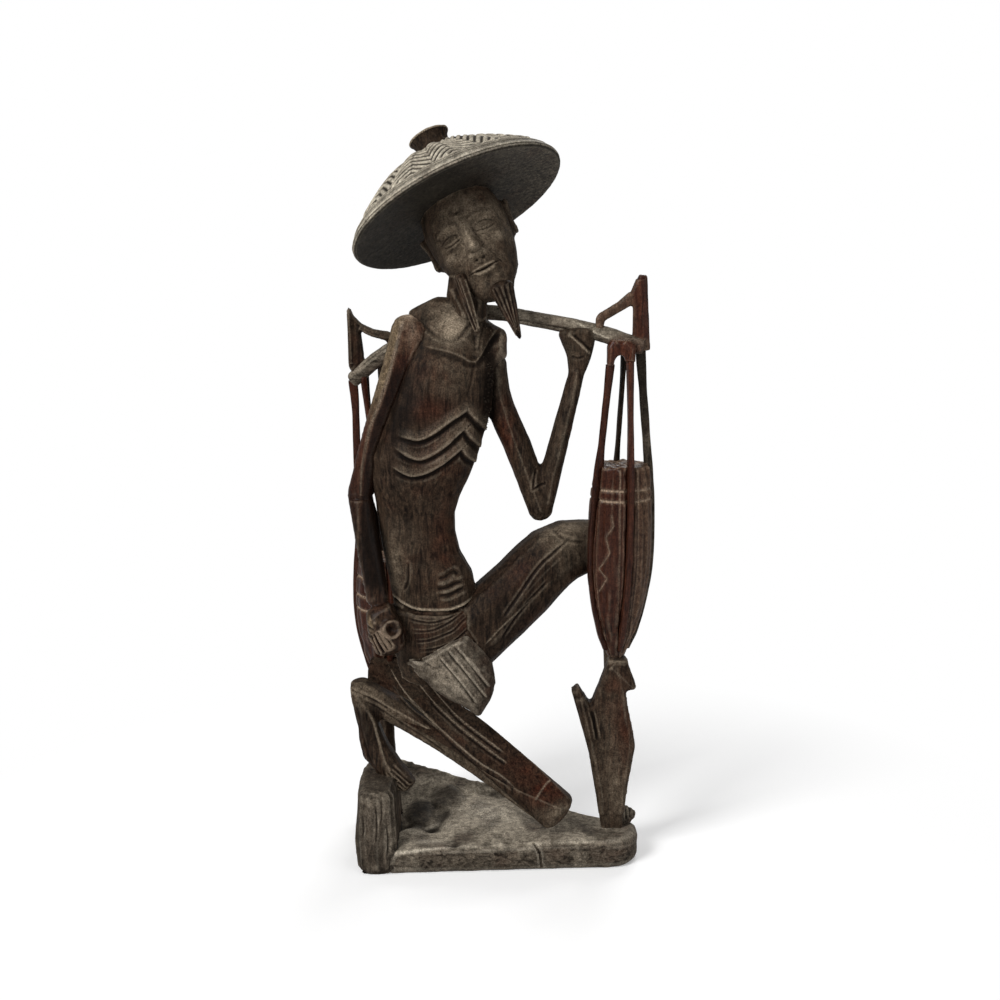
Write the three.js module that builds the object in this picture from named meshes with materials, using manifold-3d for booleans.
// Carved hardwood figure of a kneeling porter with a wide hat and a shoulder yoke.
// Two tall baskets hang from the yoke in pierced cages of straps. Millimetres, +Z up.
// Seen from the front (looking along +Y) the figure kneels towards +X.
import * as THREE from 'three';
import { mergeVertices } from 'three/addons/utils/BufferGeometryUtils.js';
import Module from 'manifold-3d';

const wasm = await Module();
wasm.setup();

// Driving dimensions, in millimetres. Places are measured from the foot of the block.
const at = (x, y, z) => new THREE.Vector3(x, y, z);

// Width of the carved line that is left where one piece is let into another
const seat = 0.3;

// Block that the figure kneels on
const baseFrontHeight = 16;
const baseRightRise = 5;
const baseBackRise = 21;
const baseRightFall = 4.3;
const baseFallStart = 0.15;
const baseFrontY = -20;
const baseBackY = 82;
const baseLeftX = -98;
const baseRightX = 98;
const baseCornerRadius = 9;
const baseEdgeRound = 3;
const baseFootRound = 2.5;
const baseRockInsets = [18, 34];
const baseSpan = 48;
const baseCorners = [
  [-97, -42], [86, -30], [96.5, -14], [96.5, 18], [74, 24], [-15, 60], [-82, 84], [-98, 66],
];

// Fluted stump at the front left corner, under the toes
const stumpMiddle = at(-85, -6, 0);
const stumpHeight = 58;
const stumpHalfWidth = 14;
const stumpHalfDepth = 36;
const stumpFlutes = 12;
const stumpFluteDepth = 1.1;
const stumpSwell = 1.5;
const stumpEdgeRound = 3.5;

// Landmarks of the legs
const waistSide = at(-74, 10, 158);
const hip = at(-71, 8, 133);
const thighMiddle = at(-25, 0, 90);
const knee = at(40.5, -14, 35);
const heel = at(-99, 12, 115);
const shinMiddle = at(-37, 11, 78);
const ballOfFoot = at(-87, 8, 72);
const toes = at(-64, -1, 49);
const raisedHip = at(-24, 5, 154);
const raisedThighMiddle = at(12, 9, 187);
const raisedThighTop = at(39.5, 14, 212.5);
const raisedKnee = at(72, 26, 218);
const raisedAnkle = at(82, 13.5, 27);
const raisedToes = at(91.5, 8, 22.5);

// Half thicknesses of the legs
const hipHalf = 15;
const thighHalf = 13.3;
const kneeHalf = 14;
const shinHalf = 9.5;
const ankleHalf = 7.5;
const toeHalf = 6;
const raisedHipHalf = 24;
const raisedThighHalf = 23;
const raisedKneeHalf = 16;
const raisedShinHalf = 5.5;
const raisedFootHalf = 5;
const footHalfWidth = 10;

// Waist wrap and the fold of cloth over the thigh
const wrapMiddle = at(-41, 3, 150);
const wrapHalfWidth = 36;
const wrapHalfDepth = 25;
const wrapHeight = 62;
const clothStart = at(-58, -8, 148);
const clothMiddle = at(-31, -14, 136);
const clothEnd = at(-13, -12, 117);
const clothHalf = 21;

// Trunk, measured as level slices at shares of its length from the waist to the collar
const trunkLength = 176;
const waist = at(-46, 4, 196);
const onTrunk = (x, y, share) => at(x, y, waist.z + trunkLength * share);
const loins = onTrunk(-54, 4, 0.13);
const belly = onTrunk(-57, 5, 0.25);
const midriff = onTrunk(-55.5, 3, 0.364);
const ribs = onTrunk(-52, 0, 0.483);
const chest = onTrunk(-37, 0, 0.773);
const collar = onTrunk(-32, 4, 1);
const waistHalfWidth = 30;
const bellyHalfWidth = 26.5;
const midriffHalfWidth = 30.5;
const ribsHalfWidth = 37;
const chestHalfWidth = 36;
const collarHalfWidth = 24;
const waistHalfDepth = 20;
const bellyHalfDepth = 17;
const ribsHalfDepth = 25;
const chestHalfDepth = 26;
const collarHalfDepth = 17;
const girdleHalf = 11;

// Landmarks and half thicknesses of the arms
const from = (place, x, y, z) => place.clone().add(at(x, y, z));
const shoulderRight = from(collar, -26, -5, -6);
const upperArmRight = from(shoulderRight, -16.5, -4, -48);
const elbowRight = from(shoulderRight, -37, 1, -108);
const wristRight = from(elbowRight, 13, -15, -70);
const fistRight = from(wristRight, 5, -5, -22);
const shoulderLeft = from(collar, 27, 1, -28);
const deltoidLeft = from(shoulderLeft, 4, -1, -24);
const upperArmLeft = from(shoulderLeft, 18, -1, -57);
const elbowLeft = from(shoulderLeft, 33, -1, -99);
const wristLeft = from(elbowLeft, 23, 0, 93);
const shoulderHalf = 14.5;
const rightUpperArmHalf = 11;
const upperArmHalf = 9.5;
const elbowHalf = 8.5;
const wristHalf = 7;
const fistHalf = 12;
const leftForearmHalf = 6.8;
const leftWristHalf = 5.3;
const palmHalf = 13.5;

// Neck and head. The face is a plain oval of common proportions.
const chinPoint = from(collar, 31, -10, 20);
const headLean = -27;
const headNod = -14;
const headHeight = 84;
const headHalfWidth = 29;
const headHalfDepth = 30;
const neckBase = from(collar, 8, 0, -2);
const neckTop = from(chinPoint, -19, 11, 16);
const neckHalf = 14;
const chinHalfWidth = 14;
const noseLength = 25;
const noseHeight = 9;
const earHeight = 24;
const goateeRoot = from(chinPoint, 2, -headHalfDepth / 2, 5);
const goateeTip = from(goateeRoot, 11.5, -7, -31);
const goateeHalf = 8.5;
const goateeTipHalf = 1.6;
const strandTop = from(chinPoint, -25, 12 - headHalfDepth / 2, 11);
const strandTip = from(strandTop, 12, -10, -35);
const strandHalf = 4;

// Hat with its knob. The brim crosses the head at two thirds of its height.
const headUp = at(0, 0, 1)
  .applyAxisAngle(at(1, 0, 0), THREE.MathUtils.degToRad(headNod))
  .applyAxisAngle(at(0, 1, 0), THREE.MathUtils.degToRad(headLean));
const brimAbove = headHeight * 0.667;
const brimMiddle = chinPoint.clone().addScaledVector(headUp, brimAbove).add(at(-1.8, 4.5, 5.6));
const hatLean = -26.7;
const hatNod = -20.2;
const brimRadius = 75.5;
const hatHeight = 45;
const brimThickness = 5;
const hatHollow = 7;
const knobBaseRadius = 10.5;
const knobTopRadius = 14.2;
const knobHeight = 11;
const knobSeatDepth = 3;
const knobAside = 3.5;
const hatFields = 13;
const hatFieldRelief = 0.8;
const hatRimBorder = 6.5;
const hatCrownRadius = 12;
const knobFacets = 14;

// Yoke, a bowed pole with a horn at each end
const yokeRearEnd = from(collar, -71, 46, -43);
const yokeRear = from(collar, -48, 40, -24);
const yokeNeck = from(collar, 10, 24, 5.5);
const yokeShoulder = from(collar, 60, 11, 1.2);
const yokeFront = from(collar, 100, 2, -6.8);
const yokeFrontEnd = from(collar, 127, -4, -15.5);
const yokeRearHalf = 5.5;
const yokeMiddleHalf = 5.2;
const yokeFrontHalf = 5.7;
const yokeHalfDepth = 7;
const hornThickness = 9;
const hornBevel = 1.2;
const saddleThickness = 13;
const saddleFrontY = -9.5;

// Baskets and the straps that cage them
const frontBasketLength = 135;
const rearBasketLength = 100;
const frontFreeDrop = 78.5;
const rearFreeDrop = 126;
const frontBasketTip = from(yokeFrontEnd, -15.2, 0, -frontFreeDrop - frontBasketLength);
const rearBasketTip = from(yokeRearEnd, 19, 2, -rearFreeDrop - rearBasketLength);
const basketFacets = 16;
const basketTipRadius = 5.5;
const frontBellyRadius = 22.2;
const frontRimRadius = 18.6;
const frontBellyDrop = 60;
const frontTaper = 0.8;
const frontLean = 3;
const rearBellyRadius = 20.5;
const rearRimRadius = 18;
const rearBellyDrop = 33;
const rearTaper = 1.2;
const rearLean = 0;
const basketRimRound = 1.5;
const strapHalfWidth = 3;
const strapHalfThickness = 2;
const strapProud = 0.9;
const strapTipClear = 6;
const strapFlare = 1.3;
const frontStrapAngles = [203, -76, 99, 6];
const frontStrapTops = [
  from(yokeFrontEnd, -21.7, -4, -12), from(yokeFrontEnd, -8.6, -5, -9.5),
  from(yokeFrontEnd, -12, 3, -8), from(yokeFrontEnd, -1.2, 3, -4),
];
const frontStrapHalves = [[2.4, 1.5], [2.5, 2.2], [2, 2], [2.4, 1.8]];
const rearStrapAngles = [178, -68, 96, 2];
const rearStrapTops = [
  from(yokeRearEnd, 1.5, 0, 0), from(yokeRearEnd, 7, -4, 3),
  from(yokeRearEnd, 9, 3, 5), from(yokeRearEnd, 19, -5, 13),
];
const rearStrapHalves = [[2.4, 1.7], [2.2, 1.8], [2, 2], [2.4, 1.8]];

// Supports between the baskets and the block
const frontSupportFoot = at(78.5, 0, 18);
const frontSupportHeight = frontBasketTip.z - frontSupportFoot.z;
const frontSupportThickness = 15;
const supportBevel = 2;
const rearSupportFoot = at(-82, 52, 28);
const rearSupportHalf = 6;

// Wood finishes
const darkWood = { color: 0x3a2721, roughness: 0.55 };
const redWood = { color: 0x4a2018, roughness: 0.4 };
const paleWood = { color: 0x7d766c, roughness: 0.8 };
const greyWood = { color: 0x55493f, roughness: 0.75 };

const level = at(0, 0, 1);
const depthward = at(0, 1, 0);
const radians = (degrees) => THREE.MathUtils.degToRad(degrees);

// Turns a closed three.js geometry into a solid with its faces out
function solidOf(geometry) {
  const bare = new THREE.BufferGeometry();
  bare.setAttribute('position', geometry.getAttribute('position'));
  bare.setIndex(geometry.getIndex());
  const merged = mergeVertices(bare, 1e-4);
  const places = merged.getAttribute('position').array;
  const faces = Array.from(merged.getIndex().array);
  const kept = [];
  for (let i = 0; i < faces.length; i += 3) {
    const [a, b, c] = faces.slice(i, i + 3);
    if (a !== b && b !== c && c !== a) {
      kept.push(a, b, c);
    }
  }
  const make = (triangles) => new wasm.Manifold(new wasm.Mesh({
    numProp: 3,
    vertProperties: new Float32Array(places),
    triVerts: new Uint32Array(triangles),
  }));
  const solid = make(kept);
  if (solid.volume() > 0) {
    return solid;
  }
  const turned = [];
  for (let i = 0; i < kept.length; i += 3) {
    turned.push(kept[i], kept[i + 2], kept[i + 1]);
  }
  return make(turned);
}

// Keeps the main body where a cut leaves loose chips
function mainBody(solid) {
  const bodies = solid.decompose();
  bodies.sort((first, second) => second.volume() - first.volume());
  return bodies[0];
}

// One point of a section: a circle that is squared off as its power rises
function sectionPoint(angle, power) {
  const c = Math.cos(angle);
  const s = Math.sin(angle);
  const x = Math.sign(c) * Math.abs(c) ** (2 / power);
  const y = Math.sign(s) * Math.abs(s) ** (2 / power);
  return [x, y];
}

// Closed skin over rings of equal length, with a point at each end
function skin(rings, first, last) {
  const sides = rings[0].length;
  const places = [first, ...rings.flat(), last];
  const end = places.length - 1;
  const corner = (ring, side) => 1 + ring * sides + (side % sides);
  const faces = [];
  for (let side = 0; side < sides; side += 1) {
    faces.push(0, corner(0, side + 1), corner(0, side));
    faces.push(end, corner(rings.length - 1, side), corner(rings.length - 1, side + 1));
    for (let ring = 0; ring < rings.length - 1; ring += 1) {
      const a = corner(ring, side);
      const b = corner(ring, side + 1);
      const c = corner(ring + 1, side + 1);
      const d = corner(ring + 1, side);
      faces.push(a, b, c, a, c, d);
    }
  }
  const geometry = new THREE.BufferGeometry().setFromPoints(places);
  geometry.setIndex(faces);
  return geometry;
}

// Loft along a smooth path. Each station has a place, a half width across the view and a half depth.
// The ends are domed, and grow makes the whole form larger by that much on every side.
function limb(stations, { sides = 12, steps = 10, power = 2.5, dome = 0.5, facing = depthward,
  axis = null, grow = 0 } = {}) {
  const path = new THREE.CatmullRomCurve3(stations.map((s) => s[0]), false, 'centripetal');
  const sizes = new THREE.CatmullRomCurve3(stations.map((s) => at(s[1], s[2], 0)));
  const ring = (share, along, scale) => {
    const tangent = axis ?? path.getTangent(share);
    const across = new THREE.Vector3().crossVectors(facing, tangent).normalize();
    const deep = new THREE.Vector3().crossVectors(tangent, across);
    const middle = path.getPoint(share).addScaledVector(tangent, along);
    const size = sizes.getPoint(share);
    const points = [];
    for (let side = 0; side < sides; side += 1) {
      const [x, y] = sectionPoint((2 * Math.PI * (side + 0.5)) / sides, power);
      points.push(middle.clone()
        .addScaledVector(across, x * (size.x + grow) * scale)
        .addScaledVector(deep, y * (size.y + grow) * scale));
    }
    return points;
  };
  const reach = (share) => dome * Math.min(sizes.getPoint(share).x, sizes.getPoint(share).y) + grow;
  const rings = [];
  for (const turn of [70, 35]) {
    rings.push(ring(0, -reach(0) * Math.sin(radians(turn)), Math.cos(radians(turn))));
  }
  for (let step = 0; step <= steps; step += 1) {
    rings.push(ring(step / steps, 0, 1));
  }
  for (const turn of [35, 70]) {
    rings.push(ring(1, reach(1) * Math.sin(radians(turn)), Math.cos(radians(turn))));
  }
  const startTangent = axis ?? path.getTangent(0);
  const endTangent = axis ?? path.getTangent(1);
  const first = path.getPoint(0).addScaledVector(startTangent, -reach(0));
  const last = path.getPoint(1).addScaledVector(endTangent, reach(1));
  return skin(rings, first, last);
}

// Flat outline in the view plane, extruded through the depth with bevelled edges
function plate(outline, middleY, thickness, bevel, grow) {
  const shape = new THREE.Shape(outline.map(([x, z]) => new THREE.Vector2(x, z)));
  const geometry = new THREE.ExtrudeGeometry(shape, {
    depth: thickness - 2 * bevel,
    bevelEnabled: true,
    bevelThickness: bevel + grow,
    bevelSize: bevel + grow,
    bevelOffset: -bevel,
    bevelSegments: 1,
    steps: 1,
  });
  geometry.rotateX(Math.PI / 2);
  geometry.translate(0, middleY + thickness / 2 - bevel, 0);
  return geometry;
}

// Turned form about a vertical axis, from radii and heights
function turned(profile, segments) {
  const geometry = new THREE.LatheGeometry(profile.map(([r, z]) => new THREE.Vector2(r, z)), segments);
  geometry.rotateX(Math.PI / 2);
  return geometry;
}

// Outline of the block with its corners rounded
function baseOutline(inset) {
  const corners = baseCorners.map(([x, y]) => new THREE.Vector2(x, y));
  const middle = corners.reduce((sum, corner) => sum.add(corner), new THREE.Vector2());
  middle.divideScalar(corners.length);
  const points = [];
  const count = corners.length;
  for (let index = 0; index < count; index += 1) {
    const corner = corners[index];
    const before = corners[(index + count - 1) % count].clone().sub(corner);
    const after = corners[(index + 1) % count].clone().sub(corner);
    const start = corner.clone().addScaledVector(before.clone().normalize(), baseCornerRadius);
    const finish = corner.clone().addScaledVector(after.clone().normalize(), baseCornerRadius);
    const bend = new THREE.QuadraticBezierCurve(start, corner, finish);
    const run = after.length() - 2 * baseCornerRadius;
    points.push(...bend.getPoints(3));
    const extra = Math.max(0, Math.round(run / baseSpan) - 1);
    for (let part = 1; part <= extra; part += 1) {
      points.push(finish.clone().addScaledVector(after.clone().normalize(), (run * part) / (extra + 1)));
    }
  }
  return points.map((point) => {
    const inward = middle.clone().sub(point);
    const scale = inset / Math.max(inward.length(), 1);
    return point.clone().addScaledVector(inward, scale);
  });
}

// Top of the block: level at the front, rising to a rocky back at the left and falling at the right
function baseTop(x, y) {
  const share = THREE.MathUtils.clamp((y - baseFrontY) / (baseBackY - baseFrontY), 0, 1);
  const right = THREE.MathUtils.clamp((x - baseLeftX) / (baseRightX - baseLeftX), 0, 1);
  const fall = baseRightFall * Math.max(0, right - baseFallStart) ** 2;
  return baseFrontHeight + baseRightRise * right + baseBackRise * (1 + baseFallStart - fall) * share ** 2;
}

function basePlinth(grow) {
  const ring = (inset, height) => baseOutline(inset - grow).map((p) => at(p.x, p.y, height(p.x, p.y)));
  const rings = [
    ring(baseFootRound, () => -grow),
    ring(0, () => baseFootRound),
    ring(0, (x, y) => baseTop(x, y) - baseEdgeRound),
    ring(baseEdgeRound, (x, y) => baseTop(x, y) + grow),
    ...baseRockInsets.map((inset) => ring(inset, (x, y) => baseTop(x, y) + grow)),
  ];
  const middle = at(0, 10, 0);
  const top = at(middle.x, middle.y, baseTop(middle.x, middle.y) + grow);
  return skin(rings, middle.setZ(-grow), top);
}

function cornerStump(grow) {
  const sides = stumpFlutes * 3;
  const heights = [0, stumpEdgeRound, stumpHeight * 0.4, stumpHeight * 0.75, stumpHeight - stumpEdgeRound,
    stumpHeight];
  const insets = [stumpEdgeRound, 0, -stumpSwell, 0, stumpSwell / 3, stumpEdgeRound];
  const rings = heights.map((height, index) => {
    const points = [];
    for (let side = 0; side < sides; side += 1) {
      const angle = (2 * Math.PI * side) / sides;
      const [x, y] = sectionPoint(angle, 5);
      const flute = stumpFluteDepth * (0.5 - 0.5 * Math.cos(stumpFlutes * angle));
      const cut = insets[index] + flute - grow;
      const z = index === 0 ? height - grow : height + (index === heights.length - 1 ? grow : 0);
      points.push(from(stumpMiddle, x * (stumpHalfWidth - cut), y * (stumpHalfDepth - cut), z));
    }
    return points;
  });
  const foot = at(stumpMiddle.x, stumpMiddle.y, -grow);
  return skin(rings, foot, at(stumpMiddle.x, stumpMiddle.y, stumpHeight + grow));
}

// Legs
const kneelingThigh = (grow) => limb([
  [waistSide, hipHalf * 0.8, hipHalf],
  [hip, hipHalf, hipHalf * 1.2],
  [thighMiddle, thighHalf, thighHalf * 1.1],
  [knee, kneeHalf, kneeHalf],
], { sides: 12, steps: 10, power: 3, dome: 0.4, grow });

const kneelingShin = (grow) => limb([
  [heel, shinHalf, shinHalf],
  [shinMiddle, shinHalf, shinHalf],
  [from(knee, -4, 3, -3), shinHalf, shinHalf],
], { sides: 12, steps: 8, power: 3, grow });

const kneelingFoot = (grow) => limb([
  [from(heel, -1, 0, 1), ankleHalf, footHalfWidth],
  [heel.clone().lerp(ballOfFoot, 0.55), ankleHalf, footHalfWidth],
  [ballOfFoot, toeHalf * 1.7, footHalfWidth],
  [toes, toeHalf, footHalfWidth],
], { sides: 10, steps: 6, power: 3, dome: 0.3, grow });

const raisedThigh = (grow) => limb([
  [raisedHip, raisedHipHalf, raisedHipHalf],
  [raisedThighMiddle, raisedThighHalf, raisedThighHalf],
  [raisedThighTop, raisedThighHalf * 0.95, raisedThighHalf * 0.85],
  [raisedKnee, raisedKneeHalf, raisedKneeHalf * 0.7],
], { sides: 12, steps: 8, power: 3, dome: 0.6, grow });

const raisedShin = (grow) => limb([
  [from(raisedKnee, 4, 2, -4), raisedShinHalf * 1.3, raisedShinHalf],
  [raisedKnee.clone().lerp(raisedAnkle, 0.45).add(at(2, 0, 0)), raisedShinHalf, raisedShinHalf],
  [raisedAnkle, raisedShinHalf, raisedShinHalf],
], { sides: 8, steps: 6, power: 3, grow });

const raisedFoot = (grow) => limb([
  [from(raisedAnkle, -7, 0, -4), raisedFootHalf, footHalfWidth * 0.8],
  [from(raisedAnkle, 4, 0, -4), raisedFootHalf, footHalfWidth * 0.8],
  [raisedToes, raisedFootHalf * 0.8, footHalfWidth * 0.8],
], { sides: 10, steps: 5, power: 3.5, dome: 0.4, grow });

// Cloth round the hips
const waistWrap = (grow) => limb([
  [from(wrapMiddle, -6, 0, wrapHeight / 2 - 4), wrapHalfWidth * 0.86, wrapHalfDepth * 0.84],
  [from(wrapMiddle, -1, 0, 8), wrapHalfWidth * 0.96, wrapHalfDepth],
  [from(wrapMiddle, 0, 1, -10), wrapHalfWidth * 0.95, wrapHalfDepth],
  [from(wrapMiddle, -8, 4, 8 - wrapHeight / 2), wrapHalfWidth * 0.7, wrapHalfDepth * 0.85],
], { sides: 12, steps: 6, dome: 0.2, axis: at(0, 0, -1), grow });

const clothFold = (grow) => limb([
  [clothStart, clothHalf * 0.35, clothHalf * 0.5],
  [clothMiddle, clothHalf, clothHalf * 0.75],
  [clothEnd, clothHalf * 0.75, clothHalf * 0.6],
], { sides: 12, steps: 8, dome: 0.6, grow });

// Trunk, arms and hands
function torso(grow) {
  const trunk = limb([
    [at(waist.x + 2, waist.y, wrapMiddle.z + 20), waistHalfWidth * 0.95, waistHalfDepth],
    [waist, waistHalfWidth, waistHalfDepth],
    [loins, bellyHalfWidth, (bellyHalfDepth + waistHalfDepth) / 2],
    [belly, bellyHalfWidth, bellyHalfDepth],
    [midriff, midriffHalfWidth, (bellyHalfDepth + ribsHalfDepth) / 2],
    [ribs, ribsHalfWidth, ribsHalfDepth],
    [chest, chestHalfWidth, chestHalfDepth],
    [collar, collarHalfWidth, collarHalfDepth],
  ], { sides: 12, steps: 11, power: 2.4, dome: 0.5, axis: level, grow });
  const girdle = limb([
    [from(shoulderRight, 4, 4, 7), girdleHalf, girdleHalf],
    [from(collar, -9, 0, 8), girdleHalf, girdleHalf + 2],
    [from(shoulderLeft, 0, -1, 14), girdleHalf * 1.1, girdleHalf],
  ], { sides: 10, steps: 7, grow });
  return solidOf(trunk).add(solidOf(girdle));
}

const rightUpperArm = (grow) => limb([
  [shoulderRight, shoulderHalf, shoulderHalf],
  [shoulderRight.clone().lerp(upperArmRight, 0.35), shoulderHalf * 0.88, shoulderHalf],
  [upperArmRight, rightUpperArmHalf, rightUpperArmHalf],
  [elbowRight, elbowHalf, elbowHalf],
], { sides: 12, steps: 9, dome: 0.8, grow });

const rightForearm = (grow) => limb([
  [elbowRight, elbowHalf, elbowHalf],
  [elbowRight.clone().lerp(wristRight, 0.5), (elbowHalf + wristHalf) / 2, elbowHalf],
  [wristRight, wristHalf, wristHalf],
], { sides: 12, steps: 7, dome: 0.8, grow });

const rightFist = (grow) => limb([
  [from(wristRight, 1, -2, -8), fistHalf * 0.8, fistHalf * 0.9],
  [fistRight, fistHalf, fistHalf],
  [from(fistRight, 3, -1, -10), fistHalf * 0.9, fistHalf * 0.9],
], { sides: 12, steps: 5, power: 3.5, dome: 0.5, grow });

const leftUpperArm = (grow) => limb([
  [shoulderLeft, upperArmHalf, upperArmHalf + 1],
  [deltoidLeft, upperArmHalf, upperArmHalf + 0.5],
  [upperArmLeft, upperArmHalf, upperArmHalf],
  [elbowLeft, elbowHalf, elbowHalf],
], { sides: 12, steps: 8, dome: 0.8, grow });

const leftForearm = (grow) => limb([
  [from(elbowLeft, 1, 0, 4), elbowHalf * 0.9, elbowHalf],
  [elbowLeft.clone().lerp(wristLeft, 0.45), leftForearmHalf, elbowHalf],
  [wristLeft, leftWristHalf, leftWristHalf + 1],
], { sides: 12, steps: 7, dome: 0.8, grow });

const leftHand = (grow) => limb([
  [wristLeft, leftWristHalf, leftWristHalf + 1],
  [from(wristLeft, 2, 2, 14), palmHalf * 0.66, palmHalf * 0.6],
  [from(wristLeft, 1, 4, 28), palmHalf, palmHalf * 0.85],
], { sides: 12, steps: 5, power: 3, dome: 0.3, grow });

// Neck, head and beard
const neck = (grow) => limb([
  [neckBase, neckHalf * 1.15, neckHalf],
  [neckBase.clone().lerp(neckTop, 0.5), neckHalf, neckHalf],
  [neckTop, neckHalf, neckHalf],
], { sides: 10, steps: 4, grow });

// Turns a form that stands upright at the origin into its leaning place
function leaned(geometry, lean, nod, place) {
  geometry.rotateX(radians(nod));
  geometry.rotateY(radians(lean));
  geometry.translate(place.x, place.y, place.z);
  return geometry;
}

function head(grow) {
  const skull = limb([
    [at(0, 0, 4), chinHalfWidth, headHalfDepth * 0.42],
    [at(0, 8, headHeight * 0.17), headHalfWidth * 0.72, headHalfDepth * 0.7],
    [at(0, 12, headHeight * 0.42), headHalfWidth * 0.94, headHalfDepth * 0.94],
    [at(0, 14, headHeight * 0.66), headHalfWidth, headHalfDepth],
    [at(0, 14, headHeight * 0.88), headHalfWidth * 0.8, headHalfDepth * 0.85],
  ], { sides: 12, steps: 8, dome: 0.6, axis: level, power: 2.3, grow });
  const noseTip = at(0, 12 - headHalfDepth * 0.94 - noseHeight * 0.5, headHeight * 0.36);
  const nose = limb([
    [from(noseTip, 0, noseHeight * 0.7, noseLength), 3, 4],
    [noseTip, 5, noseHeight * 0.7],
  ], { sides: 8, steps: 3, dome: 0.4, grow });
  let form = solidOf(leaned(skull, headLean, headNod, chinPoint));
  form = form.add(solidOf(leaned(nose, headLean, headNod, chinPoint)));
  for (const side of [-1, 1]) {
    const ear = limb([
      [at(side * headHalfWidth, 16, headHeight * 0.55 + earHeight / 2 - 3), 3, 7],
      [at(side * headHalfWidth * 0.96, 15, headHeight * 0.55 - earHeight / 2 + 3), 2.5, 5],
    ], { sides: 8, steps: 2, dome: 1, grow });
    form = form.add(solidOf(leaned(ear, headLean, headNod, chinPoint)));
  }
  return form;
}

const goatee = (grow) => limb([
  [goateeRoot, goateeHalf, goateeHalf * 0.7],
  [goateeRoot.clone().lerp(goateeTip, 0.45), goateeHalf * 0.65, goateeHalf * 0.5],
  [goateeTip, goateeTipHalf, goateeTipHalf],
], { sides: 10, steps: 6, dome: 0.8, grow });

const beardStrand = (grow) => limb([
  [strandTop, strandHalf, strandHalf * 1.3],
  [strandTop.clone().lerp(strandTip, 0.5).add(at(-1, 0, 0)), strandHalf, strandHalf],
  [strandTip, strandHalf * 0.45, strandHalf * 0.6],
], { sides: 8, steps: 5, dome: 0.8, grow });

// Hat: a shallow dome with a hollow under its brim. Its top is carved in fields that meet in raised
// and sunk lines by turns, between a plain border at the rim and a plain crown.
function hat(grow) {
  const sides = hatFields * 4;
  const ring = (radius, height, relief = 0) => Array.from({ length: sides }, (_, side) => {
    const angle = (2 * Math.PI * side) / sides;
    const fold = relief * Math.cos(hatFields * angle);
    return at(radius * Math.cos(angle), radius * Math.sin(angle), height + fold);
  });
  const crown = (radius) => brimThickness + grow
    + (hatHeight - brimThickness) * Math.cos((radius / brimRadius) * (Math.PI / 2));
  const rings = [0.65].map((share) => ring(brimRadius * share, hatHollow * (1 - share ** 2) - grow));
  rings.push(ring(brimRadius - brimThickness / 2, -grow));
  rings.push(ring(brimRadius + grow, brimThickness * 0.45));
  rings.push(ring(brimRadius - brimThickness * 0.4, brimThickness + grow));
  const border = brimRadius - hatRimBorder;
  rings.push(ring(border, crown(border)));
  const fields = border - hatCrownRadius;
  for (const share of [0.12, 0.5, 0.9]) {
    const radius = border - fields * share;
    rings.push(ring(radius, crown(radius), hatFieldRelief));
  }
  rings.push(ring(hatCrownRadius * 0.8, crown(hatCrownRadius * 0.8)));
  const form = skin(rings, at(0, 0, hatHollow - grow), at(0, 0, hatHeight + grow));
  return leaned(form, hatLean, hatNod, brimMiddle);
}

function hatKnob(grow) {
  const foot = hatHeight - knobSeatDepth;
  const top = hatHeight + knobHeight;
  const profile = [
    [0, foot - grow], [knobBaseRadius + grow, foot - grow],
    [knobBaseRadius + grow, hatHeight],
    [knobBaseRadius * 0.6 + knobTopRadius * 0.4 + grow, (foot + top) / 2],
    [knobTopRadius + grow, top - knobHeight * 0.12], [knobTopRadius * 0.94 + grow, top + grow],
    [0, top + grow],
  ];
  const knob = turned(profile, knobFacets);
  knob.translate(knobAside, 0, 0);
  return leaned(knob, hatLean, hatNod, brimMiddle);
}

// Yoke
const yokePole = (grow) => limb([
  [yokeRearEnd, yokeRearHalf, yokeHalfDepth * 0.8],
  [yokeRear, yokeRearHalf, yokeHalfDepth * 0.9],
  [yokeNeck, yokeMiddleHalf, yokeHalfDepth],
  [yokeShoulder, yokeMiddleHalf, yokeHalfDepth],
  [yokeFront, yokeFrontHalf, yokeHalfDepth],
  [yokeFrontEnd, yokeFrontHalf * 0.9, yokeHalfDepth],
], { sides: 10, steps: 14, power: 3, dome: 0.25, grow });

// Horn: an upright blade with a curved arm that comes back down to the pole
function frontHorn(grow) {
  const { x, y, z } = yokeFrontEnd;
  const outline = [
    [x + 5, z - 1.5], [x + 2.5, z + 47.5], [x - 2.5, z + 48], [x - 8, z + 36.5], [x - 16, z + 29.5],
    [x - 28.5, z + 22], [x - 31, z + 18.5], [x - 30, z + 8.5], [x - 26, z + 8.5], [x - 25.5, z + 17.5],
    [x - 6.5, z + 28.5], [x - 6.5, z - 2],
  ];
  return plate(outline, y + 4, hornThickness, hornBevel, grow);
}

function rearHorn(grow) {
  const { x, y, z } = yokeRearEnd;
  const outline = [
    [x - 2.5, z + 10], [x - 2.5, z + 51.5], [x + 1, z + 45], [x + 6.5, z + 39.5], [x + 15, z + 35.5],
    [x + 25, z + 34], [x + 33, z + 31], [x + 31, z + 22], [x + 23, z + 28], [x + 13.5, z + 31],
    [x + 6, z + 35], [x + 8, z + 18], [x + 8, z + 8], [x, z + 4],
  ];
  return plate(outline, y - 1, hornThickness, hornBevel, grow);
}

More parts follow.
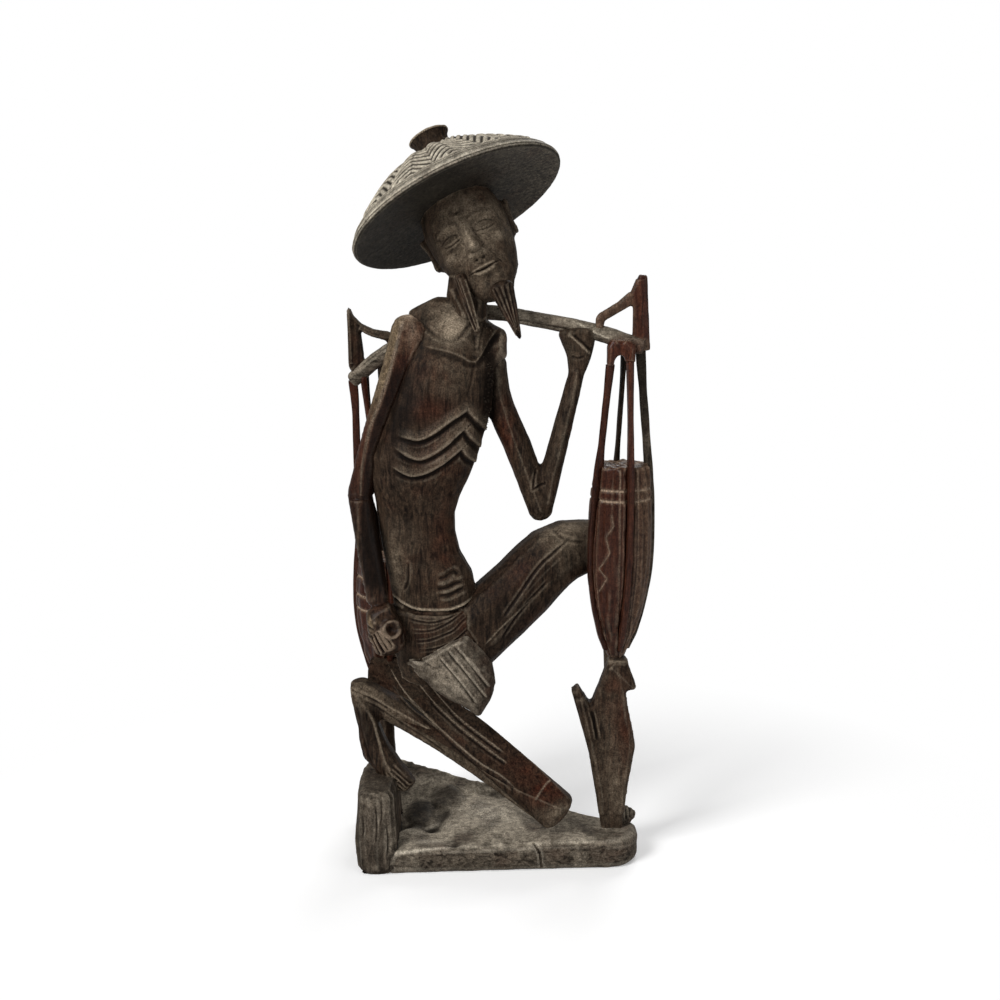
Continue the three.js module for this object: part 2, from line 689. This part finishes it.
// Saddle: the tops of two straps run together over the front of the pole, with an arch between them
function frontSaddle(grow) {
  const { x, z } = yokeFrontEnd;
  const outline = [
    [x - 23.8, z - 11.5], [x - 23.8, z + 1.5], [x - 21.5, z + 6], [x - 9, z + 5.5], [x - 5.2, z + 2.5],
    [x - 5.4, z - 9], [x - 11.8, z - 9], [x - 12.6, z - 6], [x - 14.8, z - 4.4], [x - 17.2, z - 5],
    [x - 19, z - 8], [x - 19.6, z - 11.5],
  ];
  return plate(outline, saddleFrontY + saddleThickness / 2, saddleThickness, hornBevel, grow);
}

const frontShape = {
  tip: frontBasketTip,
  length: frontBasketLength,
  bellyRadius: frontBellyRadius,
  rimRadius: frontRimRadius,
  bellyDrop: frontBellyDrop,
  taper: frontTaper,
  lean: frontLean,
};
const rearShape = {
  tip: rearBasketTip,
  length: rearBasketLength,
  bellyRadius: rearBellyRadius,
  rimRadius: rearRimRadius,
  bellyDrop: rearBellyDrop,
  taper: rearTaper,
  lean: rearLean,
};

// Radius of a basket at a height above its tip: a long taper, a belly and a drawn-in rim
function basketRadius(height, { length, bellyRadius, rimRadius, bellyDrop, taper }) {
  const bellyHeight = length - bellyDrop;
  if (height < bellyHeight) {
    const share = Math.max(0, height) / bellyHeight;
    return basketTipRadius + (bellyRadius - basketTipRadius) * Math.sin((share * Math.PI) / 2) ** taper;
  }
  const share = Math.min(1, (height - bellyHeight) / bellyDrop);
  return bellyRadius + (rimRadius - bellyRadius) * share ** 2;
}

// Middle of a basket's level slice. A basket leans a little to one side on its way up.
const basketMiddle = (height, { tip, length, lean }) => from(tip, lean * (height / length), 0, height);

function basket(shape, grow) {
  const { length, rimRadius } = shape;
  const ring = (height, radius) => {
    const middle = basketMiddle(height, shape);
    return Array.from({ length: basketFacets }, (_, side) => {
      const angle = (2 * Math.PI * side) / basketFacets;
      return from(middle, radius * Math.cos(angle), radius * Math.sin(angle), 0);
    });
  };
  const rings = [];
  const steps = 7;
  for (let step = 0; step <= steps; step += 1) {
    const height = (length - basketRimRound) * (step / steps);
    rings.push(ring(step === 0 ? -grow : height, basketRadius(height, shape) + grow));
  }
  rings.push(ring(length + grow, rimRadius - basketRimRound + grow));
  return skin(rings, basketMiddle(-grow, shape), basketMiddle(length + grow, shape));
}

const frontBasket = (grow) => basket(frontShape, grow);
const rearBasket = (grow) => basket(rearShape, grow);

// Strap: let into the side of a basket from near its tip to the rim, then free to the yoke
function strap(shape, angle, top, [freeHalfWidth, freeHalfThickness], grow) {
  const { length } = shape;
  const outward = at(Math.cos(radians(angle)), Math.sin(radians(angle)), 0);
  const place = (height) => basketMiddle(height, shape)
    .addScaledVector(outward, basketRadius(height, shape) + strapProud - strapHalfThickness);
  const stations = [];
  const count = 6;
  for (let index = 0; index <= count; index += 1) {
    const height = strapTipClear + (length - strapTipClear) * (index / count);
    const slim = index === 0 ? 0.7 : 1;
    stations.push([place(height), strapHalfWidth * slim, strapHalfThickness * slim]);
  }
  for (const share of [0.3, 0.7]) {
    stations.push([place(length).lerp(top, share), freeHalfWidth, freeHalfThickness]);
  }
  stations.push([top, freeHalfWidth * strapFlare, freeHalfThickness * strapFlare]);
  return limb(stations, { sides: 6, steps: 12, power: 4, facing: outward, dome: 0.4, grow });
}

// Supports
function frontSupport(grow) {
  const { x, z } = frontSupportFoot;
  const top = frontBasketTip.z - seat;
  const up = (share) => z + frontSupportHeight * share;
  const outline = [
    [x - 7, z], [x + 7.5, z], [x + 8.5, up(0.128)], [x + 10, up(0.248)], [x + 15.5, up(0.496)],
    [x + 7.5, up(0.808)], [x + 16, up(0.832)], [x + 9, up(0.985)], [x + 8, top], [x - 3, top],
    [x - 14.5, up(0.744)], [x - 15, up(0.712)], [x - 24.5, up(0.84)], [x - 29, up(0.808)],
    [x - 16.5, up(0.448)],
  ];
  return plate(outline, frontSupportFoot.y, frontSupportThickness, supportBevel, grow);
}

const rearSupport = (grow) => limb([
  [rearSupportFoot, rearSupportHalf * 1.2, rearSupportHalf],
  [rearSupportFoot.clone().lerp(rearBasketTip, 0.6), rearSupportHalf, rearSupportHalf],
  [from(rearBasketTip, 1, 0, -3), rearSupportHalf * 0.8, rearSupportHalf * 0.8],
], { sides: 10, steps: 6, power: 3, grow });

// Names of the straps of one side
const strapsOf = (side) => [1, 2, 3, 4].map((number) => `${side}_strap_${number}`);

// Every piece with its form, finish and the pieces that it is let into
const pieces = {
  corner_stump: [cornerStump, greyWood, stumpMiddle, []],
  base_plinth: [basePlinth, paleWood, at(0, 0, 0), ['corner_stump']],
  kneeling_thigh: [kneelingThigh, darkWood, hip, ['base_plinth']],
  kneeling_shin: [kneelingShin, darkWood, heel, ['kneeling_thigh', 'base_plinth']],
  kneeling_foot: [kneelingFoot, darkWood, heel,
    ['kneeling_shin', 'kneeling_thigh', 'corner_stump', 'base_plinth']],
  front_basket: [frontBasket, redWood, frontBasketTip, strapsOf('front')],
  rear_basket: [rearBasket, redWood, rearBasketTip,
    ['kneeling_shin', 'kneeling_thigh', 'kneeling_foot', ...strapsOf('rear')]],
  front_forked_support: [frontSupport, darkWood, frontSupportFoot, ['base_plinth', 'front_basket']],
  rear_support: [rearSupport, darkWood, rearSupportFoot,
    ['base_plinth', 'rear_basket', 'kneeling_shin', 'kneeling_foot', 'corner_stump']],
  waist_wrap: [waistWrap, darkWood, wrapMiddle, ['kneeling_thigh', 'rear_basket']],
  cloth_fold: [clothFold, greyWood, clothMiddle, ['kneeling_thigh', 'waist_wrap']],
  raised_thigh: [raisedThigh, darkWood, raisedHip,
    ['waist_wrap', 'cloth_fold', 'kneeling_thigh', 'front_basket', ...strapsOf('front')]],
  raised_foot: [raisedFoot, greyWood, raisedAnkle, ['base_plinth', 'front_forked_support']],
  raised_shin: [raisedShin, darkWood, raisedKnee,
    ['raised_thigh', 'raised_foot', 'front_basket', 'front_forked_support', 'base_plinth',
      ...strapsOf('front')]],
  yoke_pole: [yokePole, paleWood, yokeNeck, []],
  torso: [torso, darkWood, chest,
    ['waist_wrap', 'yoke_pole', 'kneeling_thigh', 'raised_thigh', 'rear_basket']],
  head: [head, darkWood, chinPoint, ['hat', 'torso', 'yoke_pole']],
  neck: [neck, darkWood, neckBase, ['head', 'torso', 'yoke_pole']],
  goatee: [goatee, darkWood, goateeRoot, ['head', 'torso', 'neck']],
  beard_strand: [beardStrand, darkWood, strandTop, ['head', 'torso', 'neck']],
  hat: [hat, paleWood, brimMiddle, []],
  hat_knob: [hatKnob, darkWood, brimMiddle, ['hat']],
  right_upper_arm: [rightUpperArm, redWood, shoulderRight, ['torso', 'yoke_pole', 'rear_basket']],
  right_forearm: [rightForearm, darkWood, elbowRight,
    ['right_upper_arm', 'torso', 'waist_wrap', 'rear_basket']],
  right_fist: [rightFist, darkWood, fistRight,
    ['right_forearm', 'waist_wrap', 'torso', 'cloth_fold', 'kneeling_thigh']],
  left_upper_arm: [leftUpperArm, darkWood, shoulderLeft, ['torso']],
  left_forearm: [leftForearm, darkWood, elbowLeft, ['left_upper_arm', 'raised_thigh']],
  left_hand: [leftHand, darkWood, wristLeft, ['left_forearm', 'yoke_pole']],
  front_yoke_horn: [frontHorn, redWood, yokeFrontEnd, ['yoke_pole']],
  rear_yoke_horn: [rearHorn, darkWood, yokeRearEnd, ['yoke_pole', 'right_upper_arm', 'torso']],
  front_saddle: [frontSaddle, redWood, yokeFrontEnd, ['yoke_pole', 'front_yoke_horn']],
};

const strapFinishes = [redWood, redWood, darkWood, greyWood];

function addStraps(side, { angles, tops, halves, shape, meets }) {
  strapsOf(side).forEach((name, index) => {
    const form = (grow) => strap(shape, angles[index], tops[index], halves[index], grow);
    pieces[name] = [form, strapFinishes[index], shape.tip, [...meets, ...strapsOf(side).slice(0, index)]];
  });
}

addStraps('front', {
  angles: frontStrapAngles,
  tops: frontStrapTops,
  halves: frontStrapHalves,
  shape: frontShape,
  meets: ['yoke_pole', 'front_yoke_horn', 'front_saddle', 'front_forked_support'],
});
addStraps('rear', {
  angles: rearStrapAngles,
  tops: rearStrapTops,
  halves: rearStrapHalves,
  shape: rearShape,
  meets: ['yoke_pole', 'rear_yoke_horn', 'right_upper_arm', 'right_forearm', 'torso', 'kneeling_thigh',
    'kneeling_shin', 'kneeling_foot', 'waist_wrap'],
});

// Full form of a piece, or its form grown by the width of the carved line
const madeForms = new Map();
function formOf(name, grow) {
  const key = `${name} ${grow}`;
  if (!madeForms.has(key)) {
    const made = pieces[name][0](grow);
    madeForms.set(key, made.isBufferGeometry ? solidOf(made) : made);
  }
  return madeForms.get(key);
}

// Cuts a piece back to its seats and returns it as a mesh about its own place
function carve(name) {
  const [, finish, place, lets] = pieces[name];
  let solid = formOf(name, 0);
  const box = solid.boundingBox();
  for (const neighbour of lets) {
    const cutter = formOf(neighbour, seat);
    const other = cutter.boundingBox();
    const meets = [0, 1, 2].every((k) => box.min[k] < other.max[k] && other.min[k] < box.max[k]);
    if (meets) {
      solid = solid.subtract(cutter);
    }
  }
  const { numProp, vertProperties, triVerts } = mainBody(solid).getMesh();
  const places = [];
  for (let i = 0; i < vertProperties.length; i += numProp) {
    places.push(vertProperties[i], vertProperties[i + 1], vertProperties[i + 2]);
  }
  const geometry = new THREE.BufferGeometry();
  geometry.setAttribute('position', new THREE.Float32BufferAttribute(places, 3));
  geometry.setIndex(Array.from(triVerts));
  geometry.translate(-place.x, -place.y, -place.z);
  geometry.computeVertexNormals();
  const mesh = new THREE.Mesh(geometry, new THREE.MeshStandardMaterial({ metalness: 0, ...finish }));
  mesh.name = name;
  mesh.position.copy(place);
  return mesh;
}

// The assembly: everything that is carried stands on the block
const figure = new THREE.Group();
const carving = new THREE.Group();
for (const name of Object.keys(pieces)) {
  carving.add(carve(name));
}
figure.add(carving);

// The origin is the middle of the footprint
const box = new THREE.Box3().setFromObject(carving, true);
carving.position.set(-(box.min.x + box.max.x) / 2, -(box.min.y + box.max.y) / 2, -box.min.z);

export default figure;
